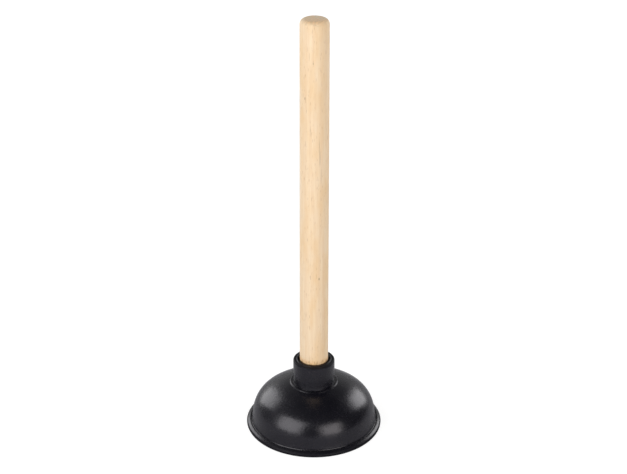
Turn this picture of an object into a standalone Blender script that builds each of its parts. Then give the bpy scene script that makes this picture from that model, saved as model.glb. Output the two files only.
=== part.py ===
"""Force-cup toilet plunger: a wooden dowel handle pushed into a moulded rubber cup.

The cup is one moulding. It is divided at the zones where the rubber bends: the lip
stays on the surface, the skirt and the dome let the handle lean, and the crown of the
dome lets the neck plunge. Metres, +Z up the handle, the sealing lip rests on Z = 0.
"""

import math

import bpy

SEGMENTS = 64
MERGE_DISTANCE = 0.00001
SHARP_ANGLE = math.radians(35)
ZONE_GAP = 0.0003

# Lip: a bead whose back falls away from the crease to a round rim, flat where it seals.
LIP_RADIUS = 0.0600
BEAD_TOP = 0.0050
BEAD_RIM_HEIGHT = 0.0016
BEAD_TOP_ROUND = 0.0026
BEAD_BACK_SLOPE = 32
BEAD_FOOT_ROUND = 0.0016

# Outside of the cup: a straight wall, then a shoulder arc, then a flatter crown arc.
CREASE_RADIUS = 0.0567
CREASE_HEIGHT = 0.0053
WALL_SLOPE = math.radians(74)
WALL_LENGTH = 0.0120
SHOULDER_RADIUS = 0.0275
CROWN_START_SLOPE = math.radians(38)
CROWN_RADIUS = 0.0555
WALL_THICKNESS = 0.0032

# Heights on the outside at which the bending zones meet, and the axes they lean about.
SKIRT_TOP = 0.0150
SIDE_LEAN_HEIGHT = 0.0102
DOME_LEAN_HEIGHT = 0.0197

# Neck: the tube that grips the handle, with a blind socket that reaches into the dome.
CROWN_HOLE_RADIUS = 0.0215
NECK_FOOT_RADIUS = 0.0212
FOOT_RISE = 0.00045
FOOT_FILLET = 0.0008
NECK_RADIUS = 0.0180
NECK_TOP = 0.0650
SHOULDER_ROUND = 0.0022
MOUTH_INNER_RADIUS = 0.0147
MOUTH_FLARE_DEPTH = 0.0036
SOCKET_FLOOR = 0.0310
SOCKET_RADIUS = 0.0133
GRIP_RADIUS = 0.0128
GRIP_HEIGHTS = (0.0370, 0.0450, 0.0530)
GRIP_HALF_LENGTH = 0.0016
GRIP_RAMP = 0.0007
HUB_RADIUS = 0.0168
HUB_BOTTOM = 0.0270
HUB_ROUND = 0.0020
HUB_FILLET = 0.0030

# Handle: a dowel a little slimmer at the top, well rounded there and chamfered below.
HANDLE_RADIUS = 0.0125
HANDLE_TOP_RADIUS = 0.01215
HANDLE_BOTTOM = 0.0315
HANDLE_TOP = 0.3757
HANDLE_TOP_ROUND = 0.0044
HANDLE_END_CHAMFER = 0.0012

RUBBER_COLOUR = (0.020, 0.020, 0.023, 1.0)
WOOD_COLOUR = (0.80, 0.62, 0.40, 1.0)


def clear_scene():
    for obj in list(bpy.data.objects):
        bpy.data.objects.remove(obj, do_unlink=True)
    for collection in list(bpy.data.collections):
        bpy.data.collections.remove(collection)


def make_material(name, colour, roughness):
    material = bpy.data.materials.new(name)
    material.use_nodes = True
    shader = material.node_tree.nodes["Principled BSDF"]
    shader.inputs["Base Color"].default_value = colour
    shader.inputs["Roughness"].default_value = roughness
    shader.inputs["Metallic"].default_value = 0.0
    material.diffuse_color = colour
    return material


def arc(centre, radius, start_degrees, end_degrees, steps):
    """Points of a circular arc in the half plane of the profile, as (radius, height)."""
    points = []
    for step in range(steps + 1):
        angle = math.radians(start_degrees + (end_degrees - start_degrees) * step / steps)
        points.append((centre[0] + radius * math.cos(angle), centre[1] + radius * math.sin(angle)))
    return points


def cup_outside(height):
    """(radius, slope) of the cup's outside at this height, between crease and neck."""
    wall_top = CREASE_HEIGHT + WALL_LENGTH * math.sin(WALL_SLOPE)
    wall_top_radius = CREASE_RADIUS - WALL_LENGTH * math.cos(WALL_SLOPE)
    if height <= wall_top:
        return CREASE_RADIUS - (height - CREASE_HEIGHT) / math.tan(WALL_SLOPE), WALL_SLOPE
    rise = SHOULDER_RADIUS * (math.cos(CROWN_START_SLOPE) - math.cos(WALL_SLOPE))
    if height <= wall_top + rise:
        slope = math.acos(math.cos(WALL_SLOPE) + (height - wall_top) / SHOULDER_RADIUS)
        inwards = SHOULDER_RADIUS * (math.sin(WALL_SLOPE) - math.sin(slope))
        return wall_top_radius - inwards, slope
    crown_start_radius = wall_top_radius - SHOULDER_RADIUS * (
        math.sin(WALL_SLOPE) - math.sin(CROWN_START_SLOPE)
    )
    cosine = math.cos(CROWN_START_SLOPE) + (height - wall_top - rise) / CROWN_RADIUS
    slope = math.acos(min(1.0, cosine))
    return crown_start_radius - CROWN_RADIUS * (math.sin(CROWN_START_SLOPE) - math.sin(slope)), slope


def height_at_radius(radius):
    """Height of the crown's outside at this radius, found by halving."""
    low = CREASE_HEIGHT
    high = CREASE_HEIGHT + WALL_LENGTH + SHOULDER_RADIUS
    for _ in range(60):
        middle = (low + high) / 2
        if cup_outside(middle)[0] > radius:
            low = middle
        else:
            high = middle
    return low


def outside_point(height):
    return cup_outside(height)[0], height


def inside_point(height):
    """The point a wall thickness straight in from the outside at this height."""
    radius, slope = cup_outside(height)
    return radius - WALL_THICKNESS * math.sin(slope), height - WALL_THICKNESS * math.cos(slope)


def heights_between(low, high, steps, eased):
    """Heights from low to high, packed towards the high end when eased."""
    heights = []
    for step in range(steps + 1):
        share = step / steps
        if eased:
            share = math.sin(share * math.pi / 2)
        heights.append(low + (high - low) * share)
    return heights


def lip_profile():
    """Closed loop: down round the bead, in along the sealing face, up the inner wall."""
    top = CREASE_HEIGHT + 0.0002
    top_centre = (LIP_RADIUS - BEAD_TOP_ROUND, BEAD_RIM_HEIGHT)
    foot_centre = (LIP_RADIUS - BEAD_FOOT_ROUND, BEAD_FOOT_ROUND)
    outer = [outside_point(top), (CREASE_RADIUS + 0.0001, BEAD_TOP)]
    outer += arc(top_centre, BEAD_TOP_ROUND, 90 - BEAD_BACK_SLOPE, 0, 6)
    outer += arc(foot_centre, BEAD_FOOT_ROUND, 0, -90, 6)
    inner_top = inside_point(top)
    foot_radius = inner_top[0] + inner_top[1] / math.tan(WALL_SLOPE)
    inner = [(foot_radius + 0.0004, 0.0), (foot_radius - 0.0001, 0.0004), inner_top]
    return outer + inner


def wall_profile(low, high, steps, eased):
    """Closed loop of the cup's wall between two heights of its outside."""
    heights = heights_between(low, high, steps, eased)
    outer = [outside_point(height) for height in reversed(heights)]
    inner = [inside_point(height) for height in heights]
    return outer + inner


def dome_profile():
    """The shoulder and crown, cut upright where they meet the neck's foot."""
    low = SKIRT_TOP + ZONE_GAP
    top = height_at_radius(CROWN_HOLE_RADIUS)
    heights = heights_between(low, top, 18, True)
    outer = [outside_point(height) for height in reversed(heights)]
    inner = [inside_point(height) for height in heights]
    inner = [point for point in inner if point[0] > CROWN_HOLE_RADIUS + 0.0008]
    underside = inner[-1][1] + (inner[-1][0] - CROWN_HOLE_RADIUS) * math.tan(math.radians(12))
    inner.append((CROWN_HOLE_RADIUS, underside))
    return outer + inner


def socket_profile():
    """The blind socket from its floor to its mouth, with the rings that grip the handle."""
    points = [(0.0, SOCKET_FLOOR), (GRIP_RADIUS - 0.0006, SOCKET_FLOOR), (SOCKET_RADIUS, SOCKET_FLOOR + 0.0010)]
    for height in GRIP_HEIGHTS:
        points.append((SOCKET_RADIUS, height - GRIP_HALF_LENGTH))
        points.append((GRIP_RADIUS, height - GRIP_HALF_LENGTH + GRIP_RAMP))
        points.append((GRIP_RADIUS, height + GRIP_HALF_LENGTH - GRIP_RAMP))
        points.append((SOCKET_RADIUS, height + GRIP_HALF_LENGTH))
    points.append((SOCKET_RADIUS, NECK_TOP - MOUTH_FLARE_DEPTH - 0.0030))
    points.append((GRIP_RADIUS, NECK_TOP - MOUTH_FLARE_DEPTH))
    points.append((MOUTH_INNER_RADIUS - 0.0003, NECK_TOP - 0.0006))
    points.append((MOUTH_INNER_RADIUS + 0.0003, NECK_TOP - 0.0001))
    return points


def neck_profile():
    """From the middle of the socket floor, over the mouth, down to the hub's middle."""
    foot_height = height_at_radius(NECK_FOOT_RADIUS)
    ledge = foot_height + FOOT_RISE
    underside = foot_height - WALL_THICKNESS
    round_centre = (NECK_RADIUS - SHOULDER_ROUND, NECK_TOP - SHOULDER_ROUND)
    fillet_centre = (NECK_RADIUS + FOOT_FILLET, ledge + FOOT_FILLET)
    ledge_centre = (NECK_FOOT_RADIUS - FOOT_RISE, foot_height)
    hub_fillet_centre = (HUB_RADIUS + HUB_FILLET, underside - HUB_FILLET)
    hub_round_centre = (HUB_RADIUS - HUB_ROUND, HUB_BOTTOM + HUB_ROUND)
    points = socket_profile()
    points += arc(round_centre, SHOULDER_ROUND, 90, 0, 6)
    points += arc(fillet_centre, FOOT_FILLET, 180, 270, 4)
    points += arc(ledge_centre, FOOT_RISE, 90, 0, 3)
    points.append((NECK_FOOT_RADIUS, underside))
    points += arc(hub_fillet_centre, HUB_FILLET, 90, 180, 5)
    points += arc(hub_round_centre, HUB_ROUND, 0, -90, 5)
    points.append((0.0, HUB_BOTTOM))
    return points


def handle_profile():
    """From the middle of the top, down the outside, to the middle of the bottom end."""
    top_centre = (HANDLE_TOP_RADIUS - HANDLE_TOP_ROUND, HANDLE_TOP - HANDLE_TOP_ROUND)
    points = [(0.0, HANDLE_TOP)]
    points += arc(top_centre, HANDLE_TOP_ROUND, 90, 0, 9)
    points.append((HANDLE_RADIUS, NECK_TOP))
    points.append((HANDLE_RADIUS, HANDLE_BOTTOM + HANDLE_END_CHAMFER))
    points.append((HANDLE_RADIUS - HANDLE_END_CHAMFER, HANDLE_BOTTOM))
    points.append((0.0, HANDLE_BOTTOM))
    return points


def turn(name, profile, closed, origin_height, material, parent, collection):
    """A solid of revolution about Z, with its origin on the axis at origin_height."""
    points = [(radius, 0.0, height - origin_height) for radius, height in profile]
    edges = [(index, index + 1) for index in range(len(points) - 1)]
    if closed:
        edges.append((len(points) - 1, 0))
    mesh = bpy.data.meshes.new(name)
    mesh.from_pydata(points, edges, [])
    obj = bpy.data.objects.new(name, mesh)
    collection.objects.link(obj)
    screw = obj.modifiers.new("Turn", "SCREW")
    screw.axis = "Z"
    screw.angle = 2 * math.pi
    screw.steps = SEGMENTS
    screw.render_steps = SEGMENTS
    screw.use_merge_vertices = True
    screw.merge_threshold = MERGE_DISTANCE
    screw.use_smooth_shade = True
    mesh.materials.append(material)
    obj.location = (0.0, 0.0, origin_height)
    if parent is not None:
        obj.parent = parent
        obj.location = (0.0, 0.0, origin_height - parent.matrix_world.translation.z)
    bpy.context.view_layer.update()
    return obj


def make_solid(obj):
    """Applies the turning so that the piece is a plain mesh with crisp edges marked."""
    bpy.context.view_layer.objects.active = obj
    for other in bpy.context.view_layer.objects:
        other.select_set(other == obj)
    bpy.ops.object.modifier_apply(modifier="Turn")
    obj.data.shade_smooth()
    obj.data.set_sharp_from_angle(angle=SHARP_ANGLE)


def build():
    clear_scene()
    collection = bpy.data.collections.new("toilet_plunger")
    bpy.context.scene.collection.children.link(collection)
    rubber = make_material("black_rubber", RUBBER_COLOUR, 0.45)
    wood = make_material("pale_wood", WOOD_COLOUR, 0.60)

    skirt = wall_profile(CREASE_HEIGHT + 0.0002 + ZONE_GAP, SKIRT_TOP, 5, False)
    lip = turn("cup_lip", lip_profile(), True, 0.0, rubber, None, collection)
    skirt = turn("cup_skirt", skirt, True, SIDE_LEAN_HEIGHT, rubber, lip, collection)
    dome = turn("cup_dome", dome_profile(), True, DOME_LEAN_HEIGHT, rubber, skirt, collection)
    neck = turn("cup_neck", neck_profile(), False, HUB_BOTTOM, rubber, dome, collection)
    handle = turn("handle", handle_profile(), False, HANDLE_BOTTOM, wood, neck, collection)
    for obj in (lip, skirt, dome, neck, handle):
        make_solid(obj)


build()
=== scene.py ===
import math

import bpy
from mathutils import Matrix, Vector, noise


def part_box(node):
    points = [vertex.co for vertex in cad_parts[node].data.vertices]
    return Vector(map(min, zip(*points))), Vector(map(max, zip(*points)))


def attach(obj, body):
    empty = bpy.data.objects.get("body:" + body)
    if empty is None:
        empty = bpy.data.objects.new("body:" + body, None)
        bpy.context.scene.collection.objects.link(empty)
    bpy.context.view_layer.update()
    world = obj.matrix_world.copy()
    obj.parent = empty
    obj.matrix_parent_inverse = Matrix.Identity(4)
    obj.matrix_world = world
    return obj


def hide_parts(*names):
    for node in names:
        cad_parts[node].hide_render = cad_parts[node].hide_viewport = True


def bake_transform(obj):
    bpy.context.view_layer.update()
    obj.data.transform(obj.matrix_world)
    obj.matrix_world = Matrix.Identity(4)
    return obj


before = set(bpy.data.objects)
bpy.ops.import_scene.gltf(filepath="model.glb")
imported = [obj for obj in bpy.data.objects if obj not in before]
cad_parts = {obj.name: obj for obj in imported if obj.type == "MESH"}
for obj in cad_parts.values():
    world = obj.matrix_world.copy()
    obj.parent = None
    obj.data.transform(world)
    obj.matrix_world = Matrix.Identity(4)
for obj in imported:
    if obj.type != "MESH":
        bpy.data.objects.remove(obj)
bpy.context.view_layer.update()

# ---------------------------------------------------------------- sizes, in metres

LIP_LOW, LIP_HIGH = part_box("cup_lip")
NECK_LOW, NECK_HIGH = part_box("cup_neck")
HANDLE_LOW, HANDLE_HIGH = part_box("handle")

ROUND_STEPS = 192
WALL_THICKNESS = 0.0032

# Outside of the cup: a straight wall, a shoulder arc, then a flatter crown arc.
CREASE_RADIUS = 0.0567
CREASE_HEIGHT = 0.0053
WALL_SLOPE = math.radians(74)
WALL_LENGTH = 0.0120
SHOULDER_RADIUS = 0.0275
CROWN_START_SLOPE = math.radians(38)
CROWN_RADIUS = 0.0555
# Below this height the wall is drawn in, by this much at the crease.
TUCK_TOP = 0.0165
TUCK_DEPTH = 0.00108

# Heights on the outside where one visual piece ends and the next begins.
LIP_TOP = 0.0062
LOWER_WALL_TOP = 0.0150
UPPER_WALL_TOP = 0.0245
CROWN_INNER_RADIUS = 0.0217

# The sealing bead, as (radius, height) points. The wall's foot flares and stops at a groove.
FLARE_CENTRE = (0.05663, 0.00558)
FLARE_RADIUS = 0.00127
GROOVE = ((0.05588, 0.00456), (0.05592, 0.00444), (0.05600, 0.00438))
BEAD_BACK = (
    (0.05608, 0.00443), (0.05621, 0.00460), (0.05638, 0.00474), (0.05658, 0.00478),
    (0.05685, 0.00471), (0.05725, 0.00454), (0.05783, 0.00423), (0.05840, 0.00388),
    (0.05880, 0.00361), (0.05910, 0.00338), (0.05934, 0.00315), (0.05955, 0.00289),
    (0.05974, 0.00260), (0.05988, 0.00233),
)
RIM_CLEARANCE = 0.00004
RIM_ROUND = 0.00175
SEAL_EDGE_RADIUS = 0.05880
SEAL_EDGE_ROUND = 0.00062
# The inner wall meets the sealing ring in a small step.
INNER_STEP_OUT = 0.0001
INNER_STEP_UP = 0.0005

NECK_RADIUS = 0.0182
NECK_TOP = NECK_HIGH.z
NECK_SHOULDER_ROUND = 0.0014
NECK_SWELL = 0.00003
# The thin raised ring that the neck stands on.
RING_RADIUS = 0.0212
RING_ROUND = 0.00115
RING_FILLET = 0.00012
RING_HEIGHT_SPAN = 0.0014
RING_FRONT_LOSS = 0.66
RING_FRONT_WIDTH = math.radians(38)

# The blind socket, its three grip rings, and the hub round it.
SOCKET_FLOOR = 0.0310
GRIP_RADIUS = 0.0128
RELIEF_RADIUS = 0.0133
GRIP_HEIGHTS = (0.037, 0.045, 0.053)
HUB_RADIUS = 0.0168
HUB_BOTTOM = NECK_LOW.z
HUB_ROUND = 0.0020
HUB_FILLET = 0.0030

HANDLE_FOOT_RADIUS = 0.0125
HANDLE_TOP_RADIUS = 0.01215
HANDLE_TOP_ROUND = 0.0044
HANDLE_FOOT_BEVEL = 0.0012
HANDLE_STEPS = 210


def clamped(value):
    return max(0.0, min(1.0, value))


def plain_outside(height):
    """(radius, slope) of the wall, shoulder and crown at this height, before the tuck."""
    wall_top = CREASE_HEIGHT + WALL_LENGTH * math.sin(WALL_SLOPE)
    wall_top_radius = CREASE_RADIUS - WALL_LENGTH * math.cos(WALL_SLOPE)
    if height <= wall_top:
        return CREASE_RADIUS - (height - CREASE_HEIGHT) / math.tan(WALL_SLOPE), WALL_SLOPE
    rise = SHOULDER_RADIUS * (math.cos(CROWN_START_SLOPE) - math.cos(WALL_SLOPE))
    if height <= wall_top + rise:
        slope = math.acos(math.cos(WALL_SLOPE) + (height - wall_top) / SHOULDER_RADIUS)
        drawn_in = SHOULDER_RADIUS * (math.sin(WALL_SLOPE) - math.sin(slope))
        return wall_top_radius - drawn_in, slope
    crown_radius = wall_top_radius - SHOULDER_RADIUS * (
        math.sin(WALL_SLOPE) - math.sin(CROWN_START_SLOPE)
    )
    cosine = math.cos(CROWN_START_SLOPE) + (height - wall_top - rise) / CROWN_RADIUS
    slope = math.acos(min(1.0, cosine))
    return crown_radius - CROWN_RADIUS * (math.sin(CROWN_START_SLOPE) - math.sin(slope)), slope


def outside(height):
    """(radius, slope) of the cup's outside at this height."""
    radius, slope = plain_outside(height)
    # The foot of the wall stands nearly upright, drawn in from the slope of the rest.
    share = clamped((TUCK_TOP - height) / (TUCK_TOP - CREASE_HEIGHT))
    steeper = TUCK_DEPTH * 6 * share * (1 - share) / (TUCK_TOP - CREASE_HEIGHT)
    radius -= TUCK_DEPTH * share * share * (3 - 2 * share)
    return radius, math.atan2(1.0, 1 / math.tan(slope) - steeper)


def height_at(radius):
    """The height at which the cup's outside has this radius."""
    low, high = CREASE_HEIGHT, CREASE_HEIGHT + WALL_LENGTH + SHOULDER_RADIUS
    for _ in range(60):
        middle = (low + high) / 2
        if outside(middle)[0] > radius:
            low = middle
        else:
            high = middle
    return low


def into_wall(height, depth):
    """The point this deep into the wall, straight in from the outside at this height."""
    radius, slope = outside(height)
    return radius - depth * math.sin(slope), height - depth * math.cos(slope)


def packed_to_ends(low, high, steps):
    """Heights from low to high, finely spaced at both ends so that seams don't show."""
    span = high - low
    return [low + span * (1 - math.cos(math.pi * n / steps)) / 2 for n in range(steps + 1)]


def arc(centre, radius, start, end, steps):
    """Points along an arc; the angles are in degrees."""
    points = []
    for n in range(steps + 1):
        angle = math.radians(start + (end - start) * n / steps)
        points.append((centre[0] + radius * math.cos(angle), centre[1] + radius * math.sin(angle)))
    return points


# ---------------------------------------------------------------- meshes


def turned(name, profile, closed, place, steps=ROUND_STEPS):
    """A turned mesh: profile of (radius, height) points, with place() setting each vertex."""
    vertices, rings = [], []
    for radius, height in profile:
        if radius < 1e-7:
            rings.append([len(vertices)] * steps)
            vertices.append(Vector((0, 0, height)))
            continue
        rings.append(list(range(len(vertices), len(vertices) + steps)))
        vertices += [place(radius, height, 2 * math.pi * n / steps) for n in range(steps)]
    faces = []
    pairs = list(zip(rings, rings[1:]))
    if closed:
        pairs.append((rings[-1], rings[0]))
    for upper, lower in pairs:
        for n in range(steps):
            m = (n + 1) % steps
            corners = [upper[n], lower[n], lower[m], upper[m]]
            kept = [c for k, c in enumerate(corners) if c not in corners[:k]]
            if len(kept) > 2:
                faces.append(kept)
    mesh = bpy.data.meshes.new(name)
    mesh.from_pydata(vertices, [], faces)
    mesh.validate()
    mesh.update()
    obj = bpy.data.objects.new(name, mesh)
    bpy.context.scene.collection.objects.link(obj)
    mesh.shade_smooth()
    return obj


def moulding_wave(angle, height):
    """How far the hand-trimmed, slightly soft moulding stands off a true circle, in metres."""
    wave = 0.00010 * math.sin(2 * angle + 0.6)
    wave += 0.00007 * math.sin(3 * angle + 140 * height + 1.9)
    wave += 0.00005 * math.sin(5 * angle - 220 * height + 0.3)
    return wave


def rubber_point(radius, height, angle):
    """A vertex of the cup; its waves fade out towards the lip and towards the neck's mouth."""
    fade = clamped((height - 0.006) / 0.01)
    fade *= clamped((0.060 - height) / 0.012)
    moved = radius
    if radius > 0.001:
        moved = radius + moulding_wave(angle, height) * fade
    return Vector((moved * math.cos(angle), moved * math.sin(angle), height))


def neck_point(radius, height, angle):
    """A vertex of the neck; the raised ring round its foot is shallow at the front."""
    low = height_at(RING_RADIUS)
    if radius > NECK_RADIUS - 0.00005 and low < height < low + RING_HEIGHT_SPAN:
        turn = (angle - 1.5 * math.pi) / RING_FRONT_WIDTH
        height = low + (height - low) * (1 - RING_FRONT_LOSS * math.exp(-turn * turn))
    return rubber_point(radius, height, angle)


def wood_point(radius, height, angle):
    """A vertex of the dowel, which is nearly round: faint flats, and a nicked top edge."""
    cosine, sine = math.cos(angle), math.sin(angle)
    uneven = 0.5 + 0.5 * noise.noise(Vector((cosine * 1.3, sine * 1.3, height * 60)))
    slow = 0.5 + 0.5 * noise.noise(Vector((cosine, sine, height * 9 + 7)))
    moved = radius * (1 - 0.0030 * uneven - 0.0045 * slow)
    edge = max(0.0, 1 - (HANDLE_HIGH.z - height) / 0.0035)
    nick = max(0.0, noise.noise(Vector((cosine * 3.1, sine * 3.1, 3.7))))
    moved -= 0.00022 * edge * nick
    return Vector((moved * cosine, moved * sine, height - 0.00012 * edge * nick))


def wall_ring(name, low, high, steps):
    """A ring of the cup's wall: its middle surface, thickened by a live Solidify."""
    heights = packed_to_ends(low, high, steps)
    profile = [into_wall(height, WALL_THICKNESS / 2) for height in reversed(heights)]
    obj = turned(name, profile, False, rubber_point)
    thick = obj.modifiers.new("Thickness", "SOLIDIFY")
    thick.thickness = WALL_THICKNESS
    thick.offset = 0.0
    thick.use_even_offset = True
    split = obj.modifiers.new("Crisp rims", "EDGE_SPLIT")
    split.split_angle = math.radians(50)
    return obj


def lip_profile():
    """Closed loop: wall root, flare, groove, bead and its rim, sealing ring, inner wall."""
    outer = LIP_HIGH.x - RIM_CLEARANCE
    points = [into_wall(LIP_TOP - 0.0001 * n, 0.0) for n in range(4)]
    points += arc(FLARE_CENTRE, FLARE_RADIUS, 186, 235, 8)
    points += GROOVE + BEAD_BACK
    points += [(outer, 0.00205), (outer - 0.00003, 0.00180)]
    points += arc((outer - 0.00180, 0.00160), RIM_ROUND, 4, -56, 9)
    points += arc((SEAL_EDGE_RADIUS, SEAL_EDGE_ROUND), SEAL_EDGE_ROUND, -50, -90, 4)
    seal_outer = points[-1][0]
    inner_top = into_wall(LIP_TOP, WALL_THICKNESS)
    foot = inner_top[0] + inner_top[1] / math.tan(WALL_SLOPE)
    seal_inner = foot + 0.0005
    for n in range(1, 7):
        points.append((seal_outer + (seal_inner - seal_outer) * n / 6, 0.0))
    points += [(foot + 0.00018, 0.00012), (foot - INNER_STEP_OUT, INNER_STEP_UP)]
    for n in range(1, 9):
        share = n / 8
        points.append((foot - INNER_STEP_OUT + (inner_top[0] - foot + INNER_STEP_OUT) * share,
                       INNER_STEP_UP + (inner_top[1] - INNER_STEP_UP) * share))
    return points


def neck_profile():
    """From the middle of the socket floor up the bore, over the rim, down to the hub's middle."""
    points = [(radius, SOCKET_FLOOR) for radius in (0.0, 0.006, GRIP_RADIUS - 0.0006)]
    points.append((RELIEF_RADIUS, SOCKET_FLOOR + 0.001))
    for height in GRIP_HEIGHTS:
        points += [(RELIEF_RADIUS, height - 0.0016), (GRIP_RADIUS + 0.0001, height - 0.0010),
                   (GRIP_RADIUS, height - 0.0006), (GRIP_RADIUS, height + 0.0006),
                   (GRIP_RADIUS + 0.0001, height + 0.0010), (RELIEF_RADIUS, height + 0.0016)]
    points += [(RELIEF_RADIUS, NECK_TOP - 0.0070), (GRIP_RADIUS + 0.0001, NECK_TOP - 0.0046)]
    # Flared mouth, a small rolled edge round it, a level rim and the rounded outer shoulder.
    points += arc((GRIP_RADIUS + 0.0034, NECK_TOP - 0.0044), 0.0033, 180, 140, 8)
    points += arc((0.01475, NECK_TOP - 0.00062), 0.00060, 165, 24, 14)
    points += [(0.01555, NECK_TOP - 0.00050), (0.01600, NECK_TOP - 0.00050),
               (0.01660, NECK_TOP - 0.00052)]
    points += arc((NECK_RADIUS - NECK_SHOULDER_ROUND, NECK_TOP - 0.0019),
                  NECK_SHOULDER_ROUND, 86, 0, 12)
    points += [(NECK_RADIUS + NECK_SWELL, NECK_TOP - 0.006),
               (NECK_RADIUS + NECK_SWELL, NECK_TOP - 0.012)]
    points += [(NECK_RADIUS, 0.0490), (NECK_RADIUS, 0.0460)]
    # The neck stands on a thin raised ring of the crown, dished a little next to the tube.
    ring_top = height_at(RING_RADIUS) + RING_ROUND - 0.0001
    points += arc((NECK_RADIUS + RING_FILLET, ring_top + RING_FILLET - 0.00022),
                  RING_FILLET, 180, 265, 4)
    points += [(0.01880, ring_top - 0.00024), (0.01940, ring_top - 0.00018),
               (0.01990, ring_top - 0.00008)]
    points += arc((RING_RADIUS - RING_ROUND, ring_top - RING_ROUND), RING_ROUND, 100, 6, 12)
    for radius in (0.02130, 0.02140, 0.0215, CROWN_INNER_RADIUS):
        points.append((radius, height_at(radius)))
    # Underneath: the crown's inside, a fillet, and the hub that holds the socket.
    under = into_wall(height_at(CROWN_INNER_RADIUS), WALL_THICKNESS)
    points.append(under)
    centre = (HUB_RADIUS + HUB_FILLET, under[1] - HUB_FILLET + 0.0003)
    points += arc(centre, HUB_FILLET, 78, 180, 10)
    points += [(HUB_RADIUS, 0.0322), (HUB_RADIUS, 0.0300)]
    points += arc((HUB_RADIUS - HUB_ROUND, HUB_BOTTOM + HUB_ROUND), HUB_ROUND, 0, -90, 8)
    points += [(radius, HUB_BOTTOM) for radius in (0.0110, 0.0060, 0.0)]
    return points


def handle_profile():
    """From the middle of the top, down the outside, to the middle of the hidden end."""
    top, bottom = HANDLE_HIGH.z, HANDLE_LOW.z
    flat = HANDLE_TOP_RADIUS - HANDLE_TOP_ROUND
    side_top = top - HANDLE_TOP_ROUND
    points = [(0.0, top)] + [(flat * n / 6, top) for n in range(1, 6)]
    points += arc((flat, side_top), HANDLE_TOP_ROUND, 90, 0, 24)
    for n in range(1, HANDLE_STEPS):
        height = side_top - (side_top - bottom - HANDLE_FOOT_BEVEL) * n / HANDLE_STEPS
        share = clamped((height - NECK_TOP) / (top - NECK_TOP))
        taper = (HANDLE_TOP_RADIUS - HANDLE_FOOT_RADIUS) * share
        points.append((HANDLE_FOOT_RADIUS + taper, height))
    points += [(HANDLE_FOOT_RADIUS, bottom + HANDLE_FOOT_BEVEL),
               (HANDLE_FOOT_RADIUS - HANDLE_FOOT_BEVEL, bottom), (0.006, bottom), (0.0, bottom)]
    return points


# ---------------------------------------------------------------- materials


class Nodes:
    """Short calls for building a node tree."""

    def __init__(self, tree):
        self.tree = tree

    def add(self, kind, **settings):
        node = self.tree.nodes.new("ShaderNode" + kind)
        for name, value in settings.items():
            setattr(node, name, value)
        return node

    def put(self, value, socket):
        """Sets a number, colour or vector on this socket, or links an output to it."""
        if isinstance(value, (int, float)):
            socket.default_value = value
        elif isinstance(value, tuple):
            socket.default_value = (*value, 1.0) if socket.type == "RGBA" else value
        else:
            self.tree.links.new(value, socket)

    def math(self, operation, *values, clamp=False):
        node = self.add("Math", operation=operation, use_clamp=clamp)
        for socket, value in zip(node.inputs, values):
            self.put(value, socket)
        return node.outputs["Value"]

    def mix(self, factor, a, b, blend="MIX", kind="RGBA"):
        node = self.add("Mix", data_type=kind, blend_type=blend)
        for name, value in (("Factor", factor), ("A", a), ("B", b)):
            self.put(value, next(s for s in node.inputs if s.name == name and s.enabled))
        return next(s for s in node.outputs if s.enabled)

    def ranged(self, value, start, end, level_at_start, level_at_end, easing="LINEAR"):
        node = self.add("MapRange", interpolation_type=easing)
        for name, number in (("Value", value), ("From Min", start), ("From Max", end),
                             ("To Min", level_at_start), ("To Max", level_at_end)):
            self.put(number, node.inputs[name])
        return node.outputs["Result"]

    def separated(self, vector):
        node = self.add("SeparateXYZ")
        self.put(vector, node.inputs["Vector"])
        return node.outputs["X"], node.outputs["Y"], node.outputs["Z"]

    def length(self, vector):
        node = self.add("VectorMath", operation="LENGTH")
        self.put(vector, node.inputs[0])
        return node.outputs["Value"]

    def length_of_two(self, a, b):
        return self.math("SQRT", self.math("ADD", self.math("MULTIPLY", a, a),
                                           self.math("MULTIPLY", b, b)))

    def above(self, value, start, width):
        """0 below start, rising to 1 over this width."""
        return self.math("MULTIPLY", self.math("SUBTRACT", value, start), 1 / width, clamp=True)

    def below(self, value, end, width):
        """0 above end, rising to 1 over this width as the value falls."""
        return self.math("MULTIPLY", self.math("SUBTRACT", end, value), 1 / width, clamp=True)


class Material(Nodes):
    """A material's node tree, with the patterns that its colour and relief are made of."""

    def __init__(self, name):
        self.material = bpy.data.materials.new(name)
        self.material.use_nodes = True
        super().__init__(self.material.node_tree)
        self.shader = self.tree.nodes["Principled BSDF"]
        self.coordinates = self.add("TexCoord").outputs["Object"]

    def surface(self, name, value):
        self.put(value, self.shader.inputs[name])

    def scaled(self, x, y, z, offset=(0.0, 0.0, 0.0)):
        node = self.add("Mapping")
        self.put((x, y, z), node.inputs["Scale"])
        self.put(offset, node.inputs["Location"])
        self.put(self.coordinates, node.inputs["Vector"])
        return node.outputs["Vector"]

    def noise(self, vector, scale=1.0, detail=3.0, roughness=0.5):
        node = self.add("TexNoise")
        for name, value in (("Scale", scale), ("Detail", detail), ("Roughness", roughness),
                            ("Vector", vector)):
            self.put(value, node.inputs[name])
        return node.outputs["Fac"]

    def ramp(self, value, *stops):
        """Greys between two (value, grey) stops."""
        node = self.add("ValToRGB")
        for element, (position, grey) in zip(node.color_ramp.elements, stops):
            element.position = position
            element.color = (grey, grey, grey, 1.0)
        self.put(value, node.inputs["Fac"])
        return node.outputs["Color"]

    def tint(self, tone, mask, strength, colour):
        """The tone, pulled towards a colour where the mask is bright."""
        return self.mix(self.math("MULTIPLY", mask, strength), tone, colour)

    def bump(self, height, strength, distance, under=None):
        node = self.add("Bump")
        for name, value in (("Strength", strength), ("Distance", distance), ("Height", height)):
            self.put(value, node.inputs[name])
        if under is not None:
            self.put(under, node.inputs["Normal"])
        return node.outputs["Normal"]


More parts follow.
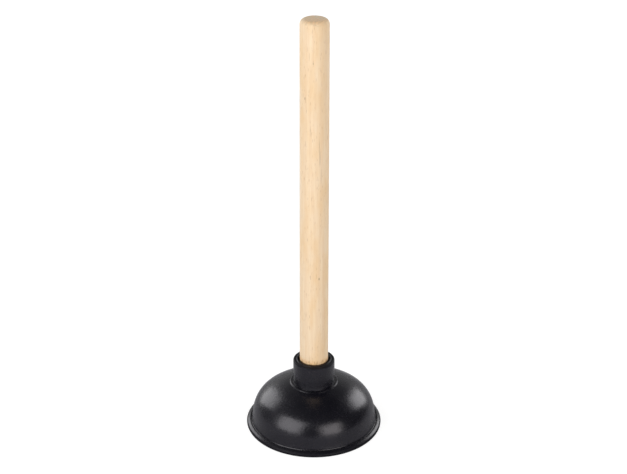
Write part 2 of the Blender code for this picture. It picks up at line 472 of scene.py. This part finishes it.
def rubber_material():
    n = Material("moulded_rubber")
    deep, worn, bloom = (0.0034, 0.0034, 0.0060), (0.0056, 0.0055, 0.0086), (0.018, 0.018, 0.020)
    broad = n.noise(n.scaled(1, 1, 1), 55.0, 3.0, 0.55)
    mottled = n.noise(n.scaled(1, 1, 1, (3.1, 1.7, 0.4)), 420.0, 4.0, 0.62)
    grain = n.noise(n.scaled(1, 1, 1), 2600.0, 2.0, 0.5)
    dust = n.ramp(mottled, (0.56, 0.0), (0.80, 1.0))
    tone = n.mix(n.ramp(broad, (0.35, 0.0), (0.70, 1.0)), deep, worn)
    tone = n.tint(tone, dust, 0.20, bloom)
    n.surface("Base Color", tone)

    # The lip's trimmed rim and the neck's handled mouth are duller than the moulded skin.
    x, y, z = n.separated(n.coordinates)
    out = n.length_of_two(x, y)
    trimmed = n.above(out, 0.0588, 0.0005)
    mouth = n.math("MULTIPLY", n.above(z, NECK_TOP - 0.0024, 0.0010), n.above(out, 0.0150, 0.0006))
    dull = n.math("MAXIMUM", n.math("MULTIPLY", trimmed, 0.9), n.math("MULTIPLY", mouth, 0.8))
    n.surface("Specular IOR Level", n.math("MULTIPLY_ADD", dull, -0.40, 0.50))
    rough = n.math("MULTIPLY_ADD", broad, 0.11, 0.205)
    rough = n.math("MULTIPLY_ADD", dust, 0.07, rough)
    rough = n.math("MULTIPLY_ADD", dull, 0.22, rough)
    n.surface("Roughness", rough)
    n.surface("IOR", 1.50)
    n.surface("Specular Tint", (0.96, 0.94, 1.0))

    relief = n.bump(broad, 0.26, 0.0010)
    relief = n.bump(mottled, 0.22, 0.00035, relief)
    relief = n.bump(grain, 0.12, 0.00008, relief)
    n.surface("Normal", relief)
    return n.material


# Small marks on the dowel: (turn in degrees from the front, height, width, length, darkness).
WOOD_MARKS = (
    (-5, 0.342, 0.00045, 0.0013, 0.44),
    (-40, 0.3115, 0.00055, 0.0016, 0.52),
    (19, 0.270, 0.00030, 0.0080, 0.34),
    (22, 0.260, 0.00034, 0.0085, 0.52),
    (27, 0.244, 0.00030, 0.0090, 0.34),
    (-16, 0.284, 0.00028, 0.0060, 0.24),
    (20, 0.149, 0.00080, 0.0015, 0.50),
    (-34, 0.114, 0.00040, 0.0030, 0.28),
    (104, 0.280, 0.00040, 0.0050, 0.30),
    (160, 0.190, 0.00090, 0.0017, 0.40),
    (215, 0.118, 0.00035, 0.0080, 0.28),
    (262, 0.236, 0.00050, 0.0012, 0.32),
)
MARK_RADIUS = 0.0122
# Growth rings of a tree whose heart lay this far off to one side of the dowel.
HEART_X, HEART_Y = -0.031, 0.022
RING_SPACING = 0.0027


def wood_marks(n):
    """The small dark marks, as one mask."""
    marks = None
    for turn, height, width, length, darkness in WOOD_MARKS:
        angle = math.radians(turn)
        place = (MARK_RADIUS * math.sin(angle), -MARK_RADIUS * math.cos(angle), height)
        shrink = (1 / width, 1 / width, 1 / length)
        offset = tuple(-p * s for p, s in zip(place, shrink))
        spot = n.ramp(n.length(n.scaled(*shrink, offset)), (0.55, darkness), (1.0, 0.0))
        marks = spot if marks is None else n.mix(1.0, marks, spot, "ADD")
    return marks


def wood_material():
    n = Material("birch_dowel")
    x, y, z = n.separated(n.coordinates)
    drift = n.noise(n.scaled(42, 42, 7), 1.0, 3.0, 0.55)
    distance = n.length_of_two(n.math("ADD", x, -HEART_X), n.math("ADD", y, -HEART_Y))
    rings = n.math("MULTIPLY_ADD", drift, 0.0160, distance)
    rings = n.math("SINE", n.math("MULTIPLY", rings, 2 * math.pi / RING_SPACING))
    rings = n.ramp(n.math("MULTIPLY_ADD", rings, 0.5, 0.5), (0.25, 0.0), (0.98, 1.0))
    patches = n.noise(n.scaled(140, 140, 36, (5, 3, 8)), 1.0, 3.0, 0.6)
    bands = n.noise(n.scaled(330, 330, 6), 1.0, 3.0, 0.55)
    fibres = n.noise(n.scaled(1500, 1500, 34, (2, 5, 1)), 1.0, 4.0, 0.62)
    threads = n.noise(n.scaled(3400, 3400, 90, (9, 1, 3)), 1.0, 2.0, 0.5)
    flecks = n.noise(n.scaled(1300, 1300, 190, (1, 8, 2)), 1.0, 1.0, 0.5)
    pale, cream = (0.890, 0.725, 0.520), (0.845, 0.645, 0.425)
    tone = n.mix(n.ramp(bands, (0.30, 0.0), (0.70, 1.0)), pale, cream)
    tone = n.tint(tone, n.ramp(patches, (0.42, 0.0), (0.68, 1.0)), 0.72, (0.830, 0.590, 0.325))
    tone = n.tint(tone, rings, 0.11, (0.740, 0.510, 0.300))
    tone = n.tint(tone, n.ramp(fibres, (0.42, 0.0), (0.78, 1.0)), 0.30, (0.690, 0.460, 0.250))
    tone = n.tint(tone, n.ramp(threads, (0.55, 0.0), (0.85, 1.0)), 0.18, (0.95, 0.82, 0.64))
    tone = n.tint(tone, n.ramp(flecks, (0.65, 0.0), (0.75, 1.0)), 0.42, (0.50, 0.30, 0.15))
    tone = n.mix(wood_marks(n), tone, (0.26, 0.14, 0.07))

    # Painted shade: a ragged, near-black ring is painted where the dowel enters the socket, standing
    # in for the shadow in the gap between wood and rubber, with lighter wood below it; above it, a
    # grubby, speckled band of rubbed-off rubber and dirt.
    ragged = n.noise(n.scaled(420, 420, 420, (7, 2, 5)), 1.0, 3.0, 0.6)
    gap_shade_top = n.math("MULTIPLY_ADD", ragged, 0.0012, NECK_TOP - 0.0002)
    painted_gap_shade = n.below(z, gap_shade_top, 0.0007)
    shade_fade = n.below(z, NECK_TOP - 0.0034, 0.0030)
    shade_fade = n.math("MULTIPLY_ADD", ragged, 0.8, n.math("SUBTRACT", shade_fade, 0.4), clamp=True)
    painted_gap_shade = n.math("MULTIPLY", painted_gap_shade, n.math("MULTIPLY_ADD", shade_fade, -0.66, 0.97))
    grubby = n.below(z, NECK_TOP + 0.0050, 0.0030)
    grubby = n.math("MULTIPLY", grubby, n.ramp(ragged, (0.38, 0.30), (0.58, 1.0)))
    specks = n.math("MULTIPLY", grubby, n.ramp(flecks, (0.54, 0.0), (0.62, 0.70)))
    tone = n.tint(tone, grubby, 0.62, (0.82, 0.49, 0.20))
    tone = n.mix(specks, tone, (0.26, 0.13, 0.05))
    # Painted shade: the near-black gap colour where the dowel meets the socket's mouth.
    tone = n.mix(painted_gap_shade, tone, (0.030, 0.014, 0.006))

    # The sawn end shows end grain: greyer, with arcs and pores, and a bruised rim.
    end = n.above(z, HANDLE_HIGH.z - 0.0021, 0.0019)
    rim = n.above(z, HANDLE_HIGH.z - 0.0036, 0.0024)
    pores = n.noise(n.scaled(1700, 1700, 1700, (4, 4, 4)), 1.0, 3.0, 0.6)
    bruise = n.noise(n.scaled(380, 380, 380, (1, 6, 3)), 1.0, 3.0, 0.6)
    warm = n.ramp(bruise, (0.35, 0.0), (0.62, 1.0))
    grain = n.mix(warm, (0.860, 0.730, 0.545), (0.960, 0.690, 0.430))
    grain = n.tint(grain, n.below(y, 0.001, 0.009), 0.75, (0.980, 0.665, 0.375))
    grain = n.tint(grain, rings, 0.35, (0.600, 0.460, 0.285))
    grain = n.tint(grain, n.ramp(pores, (0.45, 0.0), (0.75, 1.0)), 0.35, (0.450, 0.335, 0.205))
    bruised = n.math("MULTIPLY", rim, n.ramp(bruise, (0.52, 0.0), (0.64, 0.42)))
    tone = n.mix(bruised, tone, (0.42, 0.29, 0.16))
    tone = n.mix(end, tone, grain)
    n.surface("Base Color", tone)

    n.surface("Roughness", n.math("MULTIPLY_ADD", fibres, 0.16, 0.44))
    n.surface("IOR", 1.45)
    n.surface("Sheen Weight", 0.16)
    n.surface("Sheen Roughness", 0.35)
    n.surface("Sheen Tint", (0.96, 0.97, 1.0))
    relief = n.bump(fibres, 0.18, 0.00012)
    relief = n.bump(flecks, 0.12, 0.00010, relief)
    relief = n.bump(pores, 0.10, 0.00008, relief)
    n.surface("Normal", relief)
    return n.material


def floor_material():
    """White to the camera with a soft contact shadow; a pale table to everything else."""
    n = Material("pale_floor")
    n.surface("Base Color", (0.26, 0.26, 0.26))
    n.surface("Roughness", 0.9)
    n.surface("Specular IOR Level", 0.0)
    n.surface("Emission Color", (1.0, 1.0, 1.0))
    # Brighter far out, where the lights fade, so that the floor stays white to its edge.
    n.surface("Emission Strength", n.ranged(n.length(n.coordinates), 0.6, 1.6, 0.86, 1.05))
    table = n.add("BsdfDiffuse")
    n.put((0.64, 0.64, 0.68), table.inputs["Color"])
    choose = n.add("MixShader")
    n.put(n.add("LightPath").outputs["Is Camera Ray"], choose.inputs[0])
    n.put(table.outputs["BSDF"], choose.inputs[1])
    n.put(n.shader.outputs["BSDF"], choose.inputs[2])
    n.put(choose.outputs["Shader"], n.tree.nodes["Material Output"].inputs["Surface"])
    return n.material


# ---------------------------------------------------------------- the object

rubber = rubber_material()
wood = wood_material()


def dress(obj, material, slot, *nodes):
    obj.data.materials.clear()
    obj.data.materials.append(material)
    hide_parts(*nodes)
    return obj


CROWN_TOP = height_at(CROWN_INNER_RADIUS)

lip = turned("cup_lip_bead", lip_profile(), True, rubber_point)
lip.data.set_sharp_from_angle(angle=math.radians(60))
dress(lip, rubber, "cup_rubber", "cup_lip")
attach(lip, "lip")

lower_wall = wall_ring("cup_wall_lower", LIP_TOP, LOWER_WALL_TOP, 30)
dress(lower_wall, rubber, "cup_rubber", "cup_skirt")
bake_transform(lower_wall)

upper_wall = wall_ring("cup_wall_upper", LOWER_WALL_TOP, UPPER_WALL_TOP, 34)
dress(upper_wall, rubber, "cup_rubber", "cup_dome")
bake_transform(upper_wall)

crown = wall_ring("cup_crown", UPPER_WALL_TOP, CROWN_TOP, 64)
dress(crown, rubber, "cup_rubber", "cup_dome")
crown_start = into_wall(UPPER_WALL_TOP, WALL_THICKNESS / 2)[1]
crown_end = into_wall(CROWN_TOP, WALL_THICKNESS / 2)[1]
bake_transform(crown)

neck = turned("cup_neck_tube", neck_profile(), False, neck_point)
neck.data.set_sharp_from_angle(angle=math.radians(60))
dress(neck, rubber, "cup_rubber", "cup_neck")
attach(neck, "neck")

handle = turned("handle_dowel", handle_profile(), False, wood_point, 128)
handle.data.set_sharp_from_angle(angle=math.radians(50))
dress(handle, wood, "handle_wood", "handle")
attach(handle, "handle")

# ---------------------------------------------------------------- floor

FLOOR_REACH = 6.0
FLOOR_DROP = 0.0002

floor_mesh = bpy.data.meshes.new("floor")
floor_mesh.from_pydata(
    [(-FLOOR_REACH, -FLOOR_REACH, 0), (FLOOR_REACH, -FLOOR_REACH, 0),
     (FLOOR_REACH, FLOOR_REACH, 0), (-FLOOR_REACH, FLOOR_REACH, 0)],
    [], [(0, 1, 2, 3)])
floor = bpy.data.objects.new("floor", floor_mesh)
bpy.context.scene.collection.objects.link(floor)
floor.location.z = -FLOOR_DROP
floor.data.materials.append(floor_material())

# ---------------------------------------------------------------- lights

SOFTBOX_DISTANCE = 1.7
AIM = Vector((0, 0, 0.03))


def softbox(name, azimuth, elevation, across, upwards, lean, radiance, colour=(1.0, 1.0, 1.0)):
    """A rectangular light this many degrees across and upwards, seen from the cup in this direction.

    Azimuth 0 is the camera's side; lean turns the light's top towards rising azimuth."""
    a, e, t = math.radians(azimuth), math.radians(elevation), math.radians(lean)
    outwards = Vector((math.sin(a) * math.cos(e), -math.cos(a) * math.cos(e), math.sin(e)))
    sideways = Vector((math.cos(a), math.sin(a), 0))
    upright = Vector((-math.sin(a) * math.sin(e), math.cos(a) * math.sin(e), math.cos(e)))
    tall = upright * math.cos(t) + sideways * math.sin(t)
    wide = tall.cross(outwards)
    width = 2 * SOFTBOX_DISTANCE * math.tan(math.radians(across / 2))
    height = 2 * SOFTBOX_DISTANCE * math.tan(math.radians(upwards / 2))
    data = bpy.data.lights.new(name, "AREA")
    data.shape = "RECTANGLE"
    data.size, data.size_y = width, height
    data.energy = radiance * math.pi * width * height
    data.color = colour
    obj = bpy.data.objects.new(name, data)
    bpy.context.scene.collection.objects.link(obj)
    place = outwards * SOFTBOX_DISTANCE + AIM
    obj.matrix_world = Matrix((
        (wide.x, tall.x, outwards.x, place.x),
        (wide.y, tall.y, outwards.y, place.y),
        (wide.z, tall.z, outwards.z, place.z),
        (0, 0, 0, 1),
    ))
    obj.visible_camera = False
    return obj


softbox("key_front_left", -47.5, 27.5, 44, 44, 0, 3.5, (1.0, 0.99, 0.98))
softbox("fill_front_right", 33, 20, 36, 36, 0, 3.4, (1.0, 0.96, 0.93))
softbox("window_back_left", -131, 23, 24, 38, 35, 3.0)
softbox("window_back_right", 128.5, 24, 22, 34, -40, 4.0)
# Lifts the wood on its darker side; the rubber's reflections don't show it.
lift = softbox("soft_fill_right", 78, 18, 50, 40, 0, 0.78, (1.0, 0.97, 0.92))
lift.visible_glossy = False


def studio_world():
    """White to the camera. To the object: a pale backdrop low down behind, in a dim room whose
    left wall is a little lighter."""
    world = bpy.data.worlds.new("studio")
    world.use_nodes = True
    world.node_tree.nodes.clear()
    n = Nodes(world.node_tree)
    x, y, z = n.separated(n.add("TexCoord").outputs["Generated"])
    backdrop = n.math("MULTIPLY", n.ranged(y, 0.25, 0.95, 0.0, 0.40, "SMOOTHSTEP"),
                      n.ranged(z, 0.30, 0.85, 1.0, 0.15, "SMOOTHSTEP"))
    room = n.math("ADD", backdrop, n.ranged(x, -0.9, 0.2, 0.20, 0.0, "SMOOTHSTEP"))
    room = n.math("ADD", room, 0.05)
    seen = n.add("LightPath").outputs["Is Camera Ray"]
    shine = n.add("Background")
    n.put((1.0, 1.0, 1.0), shine.inputs["Color"])
    n.put(n.mix(seen, room, 1.0, kind="FLOAT"), shine.inputs["Strength"])
    n.put(shine.outputs["Background"], n.add("OutputWorld").inputs["Surface"])
    return world


bpy.context.scene.world = studio_world()

# ---------------------------------------------------------------- camera

PITCH = math.radians(25.75)
ROLL = math.radians(0.12)
CAMERA_PLACE = (-0.0006, -1.1807, 0.7527)

lens = bpy.data.cameras.new("camera")
lens.sensor_width = 36.0
lens.lens = 88.8
lens.clip_start, lens.clip_end = 0.01, 50.0
camera = bpy.data.objects.new("camera", lens)
bpy.context.scene.collection.objects.link(camera)
camera.matrix_world = (
    Matrix.Translation(CAMERA_PLACE)
    @ Matrix.Rotation(math.pi / 2 - PITCH, 4, "X")
    @ Matrix.Rotation(ROLL, 4, "Z")
)
bpy.context.scene.camera = camera

bpy.context.scene.view_settings.view_transform = "Standard"
bpy.context.scene.view_settings.look = "None"
